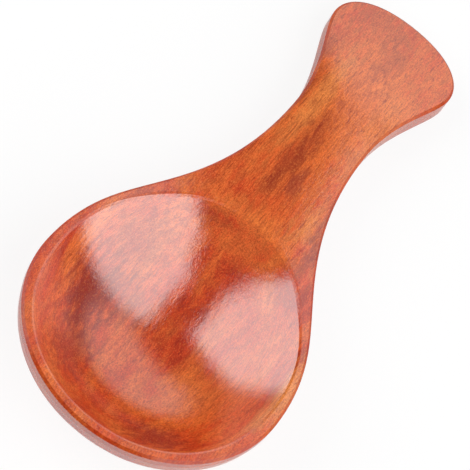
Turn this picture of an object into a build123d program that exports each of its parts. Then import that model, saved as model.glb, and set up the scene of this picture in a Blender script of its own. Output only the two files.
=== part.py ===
from build123d import *
import os
from math import asin, atan, degrees, sin, sqrt

# A measuring spoon carved, bowl and handle, from one piece of wood. Lengths are in millimetres.
# It is worked out level: the handle points along +X, the bowl's rim lies level and +Z is up.
# There x = 0 is the widest section of the bowl, and z = 0 is its lowest point.
# The finished spoon is then laid down as it rests, tipped back onto the end of its handle.

# Bowl, seen from above
bowl_width = 51.5
bowl_front = 23.2
rim_front_width = 1.9
rim_side_width = 2.1
hollow_back = 27.8
hollow_skew = 1.25

# Bowl, seen from the side
hollow_depth = 14.3
base_thickness = 3.2
back_wall_width = 3.0
wall_share = 0.985

# Handle, seen from above: from the bowl's widest section to the neck, the flare and the end
neck_length = 53.0
neck_width = 16.3
flare_length = 20.0
flare_width = 26.9
end_length = 7.4
shoulder_pull_shares = (0.80, 0.50)
flare_pull_shares = (0.435, 0.195)
end_pull_shares = (0.59, 0.68)

# Handle, seen from the side
rise_start = 12.5
rise_length = 53.5
handle_rise = 6.0
root_thickness = 11.0
flare_thickness = 6.0
root_blend_height = 6.0

# Handle, seen from the end
neck_crown_radius = 30.0
flare_crown_radius = 120.0
flare_wall_share = 0.5

# Softened edges, and the flats sanded where the spoon stands
top_edge_bevel = 0.5
lip_bevel = 0.3
under_edge_bevel = 1.2
flat_depth = 0.3

# Room past the wood for the shapes that trim it, and how far apart their sections lie
overrun = 4.0
section_spacing = 4.0
fewest_sections = 4
tip_share = 0.995

# How much squarer than an ellipse the hollow's egg is
hollow_square_share = 0.05

# How far the underside's curve across is pulled down, as a share of its depth
section_pull_share = 4 / 3

# Where the hollow's profile is drawn through, as shares of its half length
profile_shares = (-1, -0.97, -0.88, -0.7, -0.4, 0, 0.4, 0.7, 0.88, 0.97, 1)

# Most that an edge may be softened, as shares of the rim's width and of the flare's thickness
rim_bevel_share = 0.4
under_bevel_share = 0.25

half_bowl_width = bowl_width / 2
half_neck_width = neck_width / 2
half_flare_width = flare_width / 2
bowl_back = hollow_back + back_wall_width
neck_place = neck_length
flare_place = neck_place + flare_length
handle_end = flare_place + end_length
rim_height = base_thickness + hollow_depth
top_height = rim_height + handle_rise


def ease(x, start, end, low, high):
    """Passes smoothly from low, at the start and before it, to high, at the end and after it."""
    share = min(max((x - start) / (end - start), 0), 1)
    return low + (high - low) * share**2 * (3 - 2 * share)


def crest(x):
    """Height of the top along the middle of the spoon, before the hollow is cut."""
    return ease(x, rise_start, rise_start + rise_length, rim_height, top_height)


def roundness(x):
    """The bowl's outside, front and back, as the shares that half an ellipse has of its depth."""
    reach = bowl_back if x > 0 else bowl_front / wall_share
    return sqrt(max(1 - (x / reach) ** 2, 0))


def keel(x):
    """Height of the underside along the middle: the bowl's back, blended into the handle's."""
    bowl = rim_height * (1 - roundness(x))
    if x < 0:
        return bowl
    handle = crest(x) - ease(x, hollow_back, flare_place, root_thickness, flare_thickness)
    closeness = max(1 - abs(bowl - handle) / root_blend_height, 0)
    return min(bowl, handle) - (closeness / 2) ** 2 * root_blend_height


def half_width(x):
    """About half the spoon's width, from its front to the handle's end."""
    if x < 0:
        return half_bowl_width * roundness(x)
    if x < neck_place:
        return ease(x, 0, neck_place, half_bowl_width, half_neck_width)
    return ease(x, neck_place, flare_place, half_neck_width, half_flare_width)


def stations(low, high):
    """Places for sections, evenly spaced from low to high."""
    count = max(round((high - low) / section_spacing), fewest_sections)
    return [low + (high - low) * i / count for i in range(count + 1)]


def front_stations():
    """Places for sections from just past the front to the bowl's widest, closer at the front."""
    turns = stations(-asin(tip_share) * half_bowl_width, 0)[:-1]
    return [sin(turn / half_bowl_width) * bowl_front / wall_share for turn in turns]


def section_plane(x):
    """Plane across the spoon at x, with its own x along +Y and its own y upward."""
    return Plane(origin=(x, 0, 0), x_dir=(0, 1, 0), z_dir=(1, 0, 0))


def outline():
    """The spoon from above: half an ellipse round the front, then one curve for each bend."""
    shoulder_pulls = (hollow_back * shoulder_pull_shares[0], neck_place * shoulder_pull_shares[1])
    flare_pulls = [flare_length * share for share in flare_pull_shares]
    end_pulls = (end_length * end_pull_shares[0], half_flare_width * end_pull_shares[1])
    with BuildSketch() as sketch:
        with BuildLine():
            EllipticalCenterArc((0, 0), bowl_front, half_bowl_width, start_angle=90, arc_size=90)
            Bezier(
                (0, half_bowl_width),
                (shoulder_pulls[0], half_bowl_width),
                (neck_place - shoulder_pulls[1], half_neck_width),
                (neck_place, half_neck_width),
            )
            Bezier(
                (neck_place, half_neck_width),
                (neck_place + flare_pulls[0], half_neck_width),
                (flare_place - flare_pulls[1], half_flare_width),
                (flare_place, half_flare_width),
            )
            Bezier(
                (flare_place, half_flare_width),
                (flare_place + end_pulls[0], half_flare_width),
                (handle_end, end_pulls[1]),
                (handle_end, 0),
            )
            mirror(about=Plane.XZ)
        make_face()
    return sketch.sketch


def hull_section(x):
    """All that lies above the underside at x: one curve from side to side, wider than the spoon."""
    width = half_width(x) / ease(x, 0, flare_place, wall_share, flare_wall_share)
    edge, roof = crest(x), top_height + overrun
    pull = edge - (edge - keel(x)) * section_pull_share
    with BuildSketch(section_plane(x)) as sketch:
        with BuildLine():
            Bezier((-width, edge), (-width, pull), (width, pull), (width, edge))
            Polyline((width, edge), (width, roof), (-width, roof), (-width, edge))
        make_face()
    return sketch.sketch


def space_above_top():
    """All that lies above the spoon's top, which is level at the rim and crowned at the neck."""
    reach, roof = half_bowl_width + overrun, top_height + 2 * overrun
    sections = []
    for x in stations(-bowl_front - overrun, handle_end + overrun):
        radius = ease(x, neck_place, flare_place, neck_crown_radius, flare_crown_radius)
        crown = ease(x, rise_start, neck_place, 0, reach**2 / (2 * radius))
        with BuildSketch(section_plane(x)) as sketch:
            with BuildLine():
                edge = crest(x) - crown
                Bezier((-reach, edge), (0, crest(x) + crown), (reach, edge))
                Polyline((reach, edge), (reach, roof), (-reach, roof), (-reach, edge))
            make_face()
        sections.append(sketch.sketch)
    return loft(sections)


def fullness(share):
    """How wide the hollow's egg is at a share of its half length, as a share of its greatest."""
    power = 2 * (1 + hollow_square_share)
    return (1 - abs(share) ** power) ** (1 / power)


def hollow():
    """The hollow: the bottom of an egg that lies along X, its blunt end toward the front."""
    front, width = bowl_front - rim_front_width, half_bowl_width - rim_side_width
    radius = (width**2 + hollow_depth**2) / (2 * hollow_depth)
    rim_share = fullness(1 - hollow_depth / radius)
    middle = (hollow_back - front) / 2
    length = (hollow_back + front) / 2 / rim_share
    profile = []
    for share in profile_shares:
        skew = hollow_skew * (1 - (share / rim_share) ** 2)
        profile.append((middle + length * share - skew, radius * fullness(share)))
    with BuildSketch() as sketch:
        with BuildLine():
            Spline(profile, tangents=[(0, 1), (0, -1)])
            Line(profile[-1], profile[0])
        make_face()
    return Pos(0, 0, base_thickness + radius) * revolve(sketch.sketch, Axis.X, 360)


def level_spoon():
    """The spoon with its rim level: trimmed to its outline, hollowed, and its edges softened."""
    places = front_stations() + stations(0, handle_end + overrun)
    hull = loft([hull_section(x) for x in places])
    blank = Pos(0, 0, -overrun) * extrude(outline(), top_height + 2 * overrun)
    body = (blank & hull) - space_above_top()

    most_bevel = min(rim_front_width, rim_side_width) * rim_bevel_share
    top = body.faces().sort_by(Axis.Z)[-1]
    body = chamfer(top.edges(), min(top_edge_bevel, most_bevel))
    feet = []
    for wall in body.faces().filter_by(GeomType.EXTRUSION):
        longest_two = wall.edges().sort_by(SortBy.LENGTH)[-2:]
        feet.append(longest_two.sort_by(Axis.Z)[0])
    body = chamfer(feet, min(under_edge_bevel, flare_thickness * under_bevel_share))

    carved = body - hollow()
    lip = new_edges(body, combined=carved)
    return chamfer(lip, min(lip_bevel, most_bevel))


def resting_lean():
    """Slope at which a straight edge touches both the bowl's underside and the handle's end."""
    end = handle_end - under_edge_bevel
    slopes = [(keel(end) - keel(x)) / (end - x) for x in stations(0, bowl_back)]
    return degrees(atan(max(slopes)))


def lay_down(spoon):
    """Tips the spoon back until it rests, and sands flats where it meets the table."""
    tipped = Rot(0, resting_lean(), 0) * spoon
    box = tipped.bounding_box()
    placed = Pos(-box.center().X, 0, -box.min.Z - flat_depth) * tipped
    return split(placed, Plane.XY, keep=Keep.TOP)


os.makedirs("parts", exist_ok=True)
export_step(lay_down(level_spoon()), "parts/carved_spoon.step")

fill = hollow() & Box(2 * handle_end, bowl_width, rim_height, align=(Align.CENTER, Align.CENTER, Align.MIN))
print("Level capacity in cubic millimetres:", round(fill.volume))
print("Lean at rest in degrees:", round(resting_lean(), 2))
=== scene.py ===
from math import cos, pi, radians, sin

import bpy
from mathutils import Matrix, Vector

# A carved, stained and lacquered measuring spoon, lit as in a white light tent.
# Lengths are in metres. The bowl lies toward -X, the handle toward +X, and +Z is up.

# Camera: where it stands, the point at the middle of its picture, its turn and its lens
camera_place = Vector((-0.1699, -0.0200, 0.5189))
camera_aim = Vector((-0.0060, 0.0008, 0.0184))
camera_roll = radians(31.88)
camera_lens = 229.0
camera_sensor = 36.0

# Softboxes, all at one distance from the origin. Each faces it from a heading, which is counted
# from +X toward +Y, at a slope above the floor. Seen from the spoon, its top is turned to the
# left, it reaches to the right (negative) and to the left of the line that joins the two, and
# it falls below that line (negative) and rises above it. It fades over a share of its size.
box_distance = 0.5
left_box = dict(
    heading=radians(-84.2), slope=radians(24.5), turn=radians(15.0),
    reach=(-0.59, 0.160), rise=(-0.26, 0.69), radiance=2.25, fade_share=0.08,
)
right_box = dict(
    heading=radians(84.9), slope=radians(25.6), turn=radians(5.0),
    reach=(-0.165, 0.38), rise=(-0.30, 0.57), radiance=2.25, fade_share=0.12,
)
back_box = dict(
    heading=radians(-12.0), slope=radians(0.0), turn=radians(16.0),
    reach=(-0.80, 0.80), rise=(0.0, 0.80), radiance=0.70, fade_share=0.27,
)
room_radiance = 0.08

# Floor: its half width, how far it lies below the spoon so that the two don't flicker, its
# roughness, and how much plain white it adds for the camera alone
floor_reach = 1.5
floor_drop = 0.00002
floor_roughness = 0.9
floor_glow = 0.85

# Colours, as the shares of red, green and blue light that they give back
white = (1.0, 1.0, 1.0)
pale_orange = (1.0, 0.33, 0.075)
orange = (0.98, 0.228, 0.040)
red_brown = (0.74, 0.062, 0.011)
dark_brown = (0.26, 0.012, 0.004)
purple_brown = (0.26, 0.035, 0.03)

# Layers of the wood's figure: each is noise of this size across the grain, and so many times
# longer along it
layers = dict(
    clouds=dict(size=0.0060, stretch=3.2, detail=4.0, roughness=0.6, distortion=0.6),
    flecks=dict(size=0.0011, stretch=3.0, detail=3.0, roughness=0.6, distortion=0.0),
    fibres=dict(size=0.00030, stretch=16.0, detail=2.0, roughness=0.5, distortion=0.0),
    grit=dict(size=0.00023, stretch=1.5, detail=2.0, roughness=0.7, distortion=0.0),
    pores=dict(size=0.00022, stretch=9.0, detail=1.0, roughness=0.5, distortion=0.0),
    lines=dict(size=0.00045, stretch=60.0, detail=1.0, roughness=0.5, distortion=0.0),
)

# What the layers colour, before the marks and after them: the layer, two of its values, the
# strengths of the colour there, and the colour
cloud_tints = [
    ("clouds", 0.33, 0.72, 0.00, 0.95, orange),
    ("clouds", 0.42, 0.28, 0.00, 0.45, dark_brown),
]
grain_tints = [
    ("flecks", 0.36, 0.60, 0.28, 0.00, dark_brown),
    ("fibres", 0.32, 0.60, 0.30, 0.00, dark_brown),
    ("grit", 0.34, 0.56, 0.36, 0.00, dark_brown),
    ("grit", 0.52, 0.70, 0.00, 0.30, pale_orange),
    ("pores", 0.30, 0.36, 0.55, 0.00, dark_brown),
    ("lines", 0.27, 0.33, 0.50, 0.00, dark_brown),
]

# Lighter and darker marks in the stain, and among them some painted highlight and painted shade:
# middle, half size, colour and strength
marks = [
    ((0.0320, 0.0000, 0.0105), (0.0290, 0.0160, 0.0070), orange, 0.85),
    ((-0.0005, 0.0000, 0.0130), (0.0032, 0.0160, 0.0018), orange, 0.75),
    ((-0.0045, 0.0000, 0.0092), (0.0035, 0.0070, 0.0030), orange, 0.65),
    ((-0.0320, -0.0130, 0.0080), (0.0080, 0.0090, 0.0050), orange, 0.70),
    ((0.0053, -0.0080, 0.0123), (0.0050, 0.0030, 0.0030), pale_orange, 0.62),
    ((0.0280, 0.0050, 0.0110), (0.0130, 0.0022, 0.0040), pale_orange, 0.75),
    ((0.0270, -0.0070, 0.0105), (0.0130, 0.0030, 0.0040), pale_orange, 0.35),
    # A painted highlight: the right box's light caught on the rim's inner lip, on the right
    ((-0.0220, -0.0235, 0.0166), (0.0130, 0.0022, 0.0030), pale_orange, 0.95),
    ((0.0130, 0.0018, 0.0124), (0.0085, 0.0026, 0.0040), dark_brown, 0.60),
    ((0.0215, 0.0012, 0.0119), (0.0065, 0.0022, 0.0040), dark_brown, 0.38),
    ((0.0107, -0.0016, 0.0126), (0.0040, 0.0014, 0.0030), purple_brown, 0.50),
    # Painted shade along the handle's edges, where its top curves down: this mark and the next
    # four
    ((0.0034, -0.0120, 0.0119), (0.0055, 0.0014, 0.0040), purple_brown, 0.60),
    ((0.0270, 0.0080, 0.0103), (0.0070, 0.0011, 0.0040), dark_brown, 0.50),
    ((0.0345, 0.0103, 0.0095), (0.0050, 0.0009, 0.0040), dark_brown, 0.45),
    ((0.0130, 0.0104, 0.0110), (0.0090, 0.0012, 0.0040), dark_brown, 0.40),
    ((0.0106, -0.0101, 0.0111), (0.0090, 0.0010, 0.0040), purple_brown, 0.60),
    ((0.0475, 0.0050, 0.0078), (0.0045, 0.0060, 0.0030), purple_brown, 0.22),
    ((0.0421, -0.0006, 0.0088), (0.0065, 0.0030, 0.0030), purple_brown, 0.26),
    ((-0.0276, 0.0150, 0.0083), (0.0080, 0.0065, 0.0055), dark_brown, 0.85),
    ((-0.0375, 0.0110, 0.0100), (0.0075, 0.0060, 0.0065), purple_brown, 0.58),
    ((-0.0144, 0.0140, 0.0080), (0.0090, 0.0080, 0.0070), purple_brown, 0.42),
    ((-0.0235, 0.0085, 0.0045), (0.0045, 0.0060, 0.0040), dark_brown, 0.50),
    ((-0.0200, -0.0010, 0.0032), (0.0060, 0.0050, 0.0040), dark_brown, 0.18),
    # Painted shade on the hollow's front-right wall
    ((-0.0425, -0.0110, 0.0143), (0.0050, 0.0075, 0.0055), dark_brown, 0.72),
    # Partly the stain's own darkness and partly painted shade, on the hollow's back wall below
    # the ridge: this mark and the next
    ((-0.0036, 0.0085, 0.0108), (0.0018, 0.0060, 0.0018), dark_brown, 0.40),
    ((-0.0070, -0.0120, 0.0108), (0.0025, 0.0040, 0.0025), dark_brown, 0.30),
]

# A mark is strongest up to the first share of its half size and ends at the second one. The
# flecks, between two of their values, push its outline in and out by this share.
mark_fade = (0.25, 1.35)
ragged_flecks = (0.2, 0.8)
ragged_share = 0.45

# The spoon's own level axes, in which its rim lies level: their origin and their lean. In them,
# the rim's height, how the top rises from it to the handle, and an oval that holds the hollow.
level_place = (-0.03197, 0.0, 0.00094)
level_lean = radians(12.30)
rim_height, handle_rise = 0.0175, 0.0060
rise_start, rise_length = 0.0125, 0.0535
oval_front, oval_back, oval_side = 0.0223, 0.0293, 0.0247

# The outside's painted shade, and the top edge's loss of gloss, by how far a face turns up: none
# at the first value, and all of it at the second. The top's slanted edge has a steep limit and a
# flat one.
edge_steep_limit = (0.40, 0.55)
edge_flat_limit = (0.92, 0.84)
wall_limit = (0.45, 0.25)

# How much painted shade darkens the top's outer edge and how much less glossy it is, and how much
# painted shade darkens all that turns outward or down
edge_painted_shade = 0.45
worn_gloss = 0.75
wall_painted_shade = 0.55

# The hollow's wall is softened below the rim, down to this depth, at this rate per metre
soft_depth = 0.0085
soft_rate = 24.0

# Relief of the wood under the lacquer: its depth, and how much of it each layer gives
relief_depth = 0.000045
grit_relief = 0.5
fleck_relief = 0.9

# Gloss: the wood has none of its own, and the lacquer has all of it
wood_roughness = 0.6
wood_gloss = 0.0
lacquer_roughness = 0.07
lacquer_index = 2.22

# The Mix node's colour sockets, whose names its other sockets share
mix_under, mix_over, mix_result = 6, 7, 2


def feed(tree, socket, value):
    """Feeds an input with another node's output, or sets it to a number, vector or colour."""
    if isinstance(value, bpy.types.NodeSocket):
        tree.links.new(value, socket)
    elif socket.type == "RGBA":
        socket.default_value = (*value, 1)
    else:
        socket.default_value = value


def add_node(tree, kind, inputs=None, **settings):
    """Adds a node with its settings, and feeds its inputs by their names or numbers."""
    made = tree.nodes.new(kind)
    for name, value in settings.items():
        setattr(made, name, value)
    for name, value in (inputs or {}).items():
        feed(tree, made.inputs[name], value)
    return made


def compute(tree, operation, a, b):
    """What a sum, or another operation, makes of two numbers."""
    return add_node(tree, "ShaderNodeMath", {0: a, 1: b}, operation=operation).outputs["Value"]


def compute_vector(tree, operation, result, a, b=(0, 0, 0)):
    """What an operation makes of two vectors: its result is a Vector or a Value."""
    inputs = {0: a, 1: b}
    made = add_node(tree, "ShaderNodeVectorMath", inputs, operation=operation)
    return made.outputs[result]


def span(tree, value, low, high, at_low=0.0, at_high=1.0):
    """Passes smoothly from at_low, where the value is low, to at_high, where it is high."""
    inputs = {"Value": value, "From Min": low, "From Max": high}
    inputs.update({"To Min": at_low, "To Max": at_high})
    made = add_node(tree, "ShaderNodeMapRange", inputs, interpolation_type="SMOOTHSTEP")
    return made.outputs["Result"]


def blend(tree, under, over, share):
    """Lays a share of one colour over another."""
    inputs = {"Factor": share, mix_under: under, mix_over: over}
    return add_node(tree, "ShaderNodeMix", inputs, data_type="RGBA").outputs[mix_result]


def noise(tree, place, size, stretch, detail, roughness, distortion):
    """Noise that is drawn out along the grain, which runs along X."""
    scale = (1 / (size * stretch), 1 / size, 1 / size)
    drawn_out = add_node(tree, "ShaderNodeMapping", {"Vector": place, "Scale": scale})
    inputs = {"Vector": drawn_out.outputs["Vector"], "Scale": 1.0}
    inputs.update({"Detail": detail, "Roughness": roughness, "Distortion": distortion})
    return add_node(tree, "ShaderNodeTexNoise", inputs).outputs["Fac"]


def softbox(name, heading, slope, turn, reach, rise, radiance, fade_share):
    """A flat lamp, square to the line from the spoon, that fades out toward its edges."""
    outward = Vector((cos(slope) * cos(heading), cos(slope) * sin(heading), sin(slope)))
    upward = Vector((-sin(slope) * cos(heading), -sin(slope) * sin(heading), cos(slope)))
    leftward = upward.cross(outward)
    across = cos(turn) * leftward - sin(turn) * upward
    along = sin(turn) * leftward + cos(turn) * upward
    middle = outward * box_distance + across * sum(reach) / 2 + along * sum(rise) / 2
    axes = Matrix((along.cross(outward), along, outward)).transposed()

    lamp = bpy.data.lights.new(name, "AREA")
    lamp.shape = "RECTANGLE"
    lamp.size = reach[1] - reach[0]
    lamp.size_y = rise[1] - rise[0]
    lamp.energy = radiance * lamp.size * lamp.size_y * pi
    lamp.use_nodes = True
    tree = lamp.node_tree
    face = add_node(tree, "ShaderNodeNewGeometry").outputs["Parametric"]
    shares = add_node(tree, "ShaderNodeSeparateXYZ", {"Vector": face}).outputs
    edges = [compute(tree, "PINGPONG", shares[axis], 1 / 2) for axis in "XY"]
    fades = [span(tree, edge, 0.0, fade_share) for edge in edges]
    feed(tree, tree.nodes["Emission"].inputs["Strength"], compute(tree, "MULTIPLY", *fades))

    box = bpy.data.objects.new(name, lamp)
    box.matrix_world = Matrix.Translation(middle) @ axes.to_4x4()
    box.visible_camera = False
    bpy.context.scene.collection.objects.link(box)


def stain_and_painted_light(tree, place, figure):
    """The wood's colour: red-brown under its clouds, its marks, some of them painted highlight
    and painted shade, and its fine grain.
    """
    colour = red_brown
    for layer, low, high, at_low, at_high, tint in cloud_tints:
        colour = blend(tree, colour, tint, span(tree, figure[layer], low, high, at_low, at_high))
    ragged = span(tree, figure["flecks"], *ragged_flecks, -ragged_share, ragged_share)
    for middle, half_size, tint, strength in marks:
        from_middle = compute_vector(tree, "SUBTRACT", "Vector", place, middle)
        shares = compute_vector(tree, "DIVIDE", "Vector", from_middle, half_size)
        far = compute(tree, "ADD", compute_vector(tree, "LENGTH", "Value", shares), ragged)
        colour = blend(tree, colour, tint, span(tree, far, *mark_fade, strength, 0.0))
    for layer, low, high, at_low, at_high, tint in grain_tints:
        colour = blend(tree, colour, tint, span(tree, figure[layer], low, high, at_low, at_high))
    return colour


def level_spot(tree, place):
    """Where a point lies in the spoon's own level axes."""
    inputs = {"Vector": place, "Location": level_place, "Rotation": (0, level_lean, 0)}
    level = add_node(tree, "ShaderNodeMapping", inputs, vector_type="TEXTURE").outputs["Vector"]
    return add_node(tree, "ShaderNodeSeparateXYZ", {"Vector": level}).outputs


def hollow_mask(tree, spot):
    """1 inside the oval that holds the hollow, and 0 outside it."""
    back = compute(tree, "DIVIDE", spot["X"], oval_back)
    front = compute(tree, "DIVIDE", spot["X"], -oval_front)
    along = compute(tree, "MAXIMUM", back, front)
    across = compute(tree, "DIVIDE", spot["Y"], oval_side)
    squares = [compute(tree, "MULTIPLY", part, part) for part in (along, across)]
    return compute(tree, "LESS_THAN", compute(tree, "ADD", *squares), 1.0)


def outside_masks(tree, inside):
    """Where the top's slanted outer edge is, and where the walls and the underside are."""
    face = add_node(tree, "ShaderNodeNewGeometry").outputs["True Normal"]
    level_up = (sin(level_lean), 0, cos(level_lean))
    upness = compute_vector(tree, "DOT_PRODUCT", "Value", face, level_up)
    limits = [span(tree, upness, *limit) for limit in (edge_steep_limit, edge_flat_limit)]
    slanted = compute(tree, "MULTIPLY", *limits)
    outside = compute(tree, "SUBTRACT", 1.0, inside)
    edge = compute(tree, "MULTIPLY", slanted, outside)
    wall = compute(tree, "MULTIPLY", span(tree, upness, *wall_limit), outside)
    return edge, wall


def softened_wall(tree, spot, inside):
    """Shades the hollow's wall as if it were less steep toward the rim."""
    rise_end, top_height = rise_start + rise_length, rim_height + handle_rise
    crest = span(tree, spot["X"], rise_start, rise_end, rim_height, top_height)
    depth = compute(tree, "MAXIMUM", compute(tree, "SUBTRACT", crest, spot["Z"]), 0.0)
    rest = compute(tree, "MAXIMUM", compute(tree, "SUBTRACT", soft_depth, depth), 0.0)
    fill = compute(tree, "SUBTRACT", soft_depth**2, compute(tree, "MULTIPLY", rest, rest))
    height = compute(tree, "MULTIPLY", compute(tree, "MULTIPLY", fill, inside), soft_rate)
    return add_node(tree, "ShaderNodeBump", {"Height": height, "Distance": 1.0}).outputs["Normal"]


def wood_relief(tree, figure, normal):
    """Adds the grain's fine relief to the shading."""
    grit = compute(tree, "MULTIPLY", figure["grit"], grit_relief)
    flecks = compute(tree, "MULTIPLY", figure["flecks"], fleck_relief)
    height = compute(tree, "ADD", grit, flecks)
    inputs = {"Height": height, "Distance": relief_depth, "Normal": normal}
    return add_node(tree, "ShaderNodeBump", inputs).outputs["Normal"]


def wood_material():
    """Stained wood under a gloss lacquer, less glossy at the top's outer edge, with painted shade
    there and on the walls and underside.
    """
    material = bpy.data.materials.new("lacquered_wood")
    material.use_nodes = True
    tree = material.node_tree
    place = add_node(tree, "ShaderNodeTexCoord").outputs["Object"]
    figure = {name: noise(tree, place, **layer) for name, layer in layers.items()}
    spot = level_spot(tree, place)
    inside = hollow_mask(tree, spot)
    edge, wall = outside_masks(tree, inside)
    colour = stain_and_painted_light(tree, place, figure)
    # Painted shade on the top's slanted outer edge, picked out by its slope
    colour = blend(tree, colour, dark_brown, compute(tree, "MULTIPLY", edge, edge_painted_shade))
    # Painted shade, in purple-brown, on the walls and underside, by how far they turn down
    colour = blend(tree, colour, purple_brown, compute(tree, "MULTIPLY", wall, wall_painted_shade))
    lacquer = compute(tree, "SUBTRACT", 1.0, compute(tree, "MULTIPLY", edge, worn_gloss))
    normal = wood_relief(tree, figure, softened_wall(tree, spot, inside))
    looks = {
        "Base Color": colour,
        "Roughness": wood_roughness,
        "Specular IOR Level": wood_gloss,
        "Normal": normal,
        "Coat Weight": lacquer,
        "Coat Roughness": lacquer_roughness,
        "Coat IOR": lacquer_index,
        "Coat Normal": normal,
    }
    for name, value in looks.items():
        feed(tree, tree.nodes["Principled BSDF"].inputs[name], value)
    return material


def paper_material():
    """White paper that keeps shadows, and that the camera sees nearly as plain white."""
    paper = bpy.data.materials.new("white_paper")
    paper.use_nodes = True
    tree = paper.node_tree
    matte = tree.nodes["Principled BSDF"]
    feed(tree, matte.inputs["Base Color"], white)
    feed(tree, matte.inputs["Roughness"], floor_roughness)
    glow = add_node(tree, "ShaderNodeEmission", {"Color": white, "Strength": 1.0})
    camera_ray = add_node(tree, "ShaderNodeLightPath").outputs["Is Camera Ray"]
    share = compute(tree, "MULTIPLY", camera_ray, floor_glow)
    inputs = {0: share, 1: matte.outputs["BSDF"], 2: glow.outputs["Emission"]}
    both = add_node(tree, "ShaderNodeMixShader", inputs).outputs["Shader"]
    feed(tree, tree.nodes["Material Output"].inputs["Surface"], both)
    return paper


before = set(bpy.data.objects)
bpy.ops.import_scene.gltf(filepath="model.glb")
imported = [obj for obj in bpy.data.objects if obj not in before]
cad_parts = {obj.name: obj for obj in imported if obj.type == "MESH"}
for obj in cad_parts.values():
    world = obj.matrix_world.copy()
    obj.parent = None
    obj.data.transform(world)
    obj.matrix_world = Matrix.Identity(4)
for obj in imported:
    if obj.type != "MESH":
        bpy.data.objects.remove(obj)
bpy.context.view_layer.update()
scene = bpy.context.scene

# Camera
camera_data = bpy.data.cameras.new("camera")
camera_data.lens = camera_lens
camera_data.sensor_width = camera_sensor
camera = bpy.data.objects.new("camera", camera_data)
facing = (camera_aim - camera_place).to_track_quat("-Z", "Y").to_matrix()
rolled = facing @ Matrix.Rotation(camera_roll, 3, "Z")
camera.matrix_world = Matrix.Translation(camera_place) @ rolled.to_4x4()
scene.collection.objects.link(camera)
scene.camera = camera

# Spoon
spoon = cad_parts["carved_spoon"]
spoon.data.materials.clear()
spoon.data.materials.append(wood_material())

# Lamps
softbox("left_box", **left_box)
softbox("right_box", **right_box)
softbox("back_box", **back_box)
world = bpy.data.worlds.new("room")
world.use_nodes = True
room = world.node_tree.nodes["Background"]
feed(world.node_tree, room.inputs["Color"], white)
feed(world.node_tree, room.inputs["Strength"], room_radiance)
scene.world = world
scene.view_settings.view_transform = "Standard"

# Floor
corners = [(-1, -1), (1, -1), (1, 1), (-1, 1)]
points = [(x * floor_reach, y * floor_reach, -floor_drop) for x, y in corners]
floor_mesh = bpy.data.meshes.new("floor")
floor_mesh.from_pydata(points, [], [range(len(points))])
floor_mesh.materials.append(paper_material())
floor = bpy.data.objects.new("floor", floor_mesh)
scene.collection.objects.link(floor)
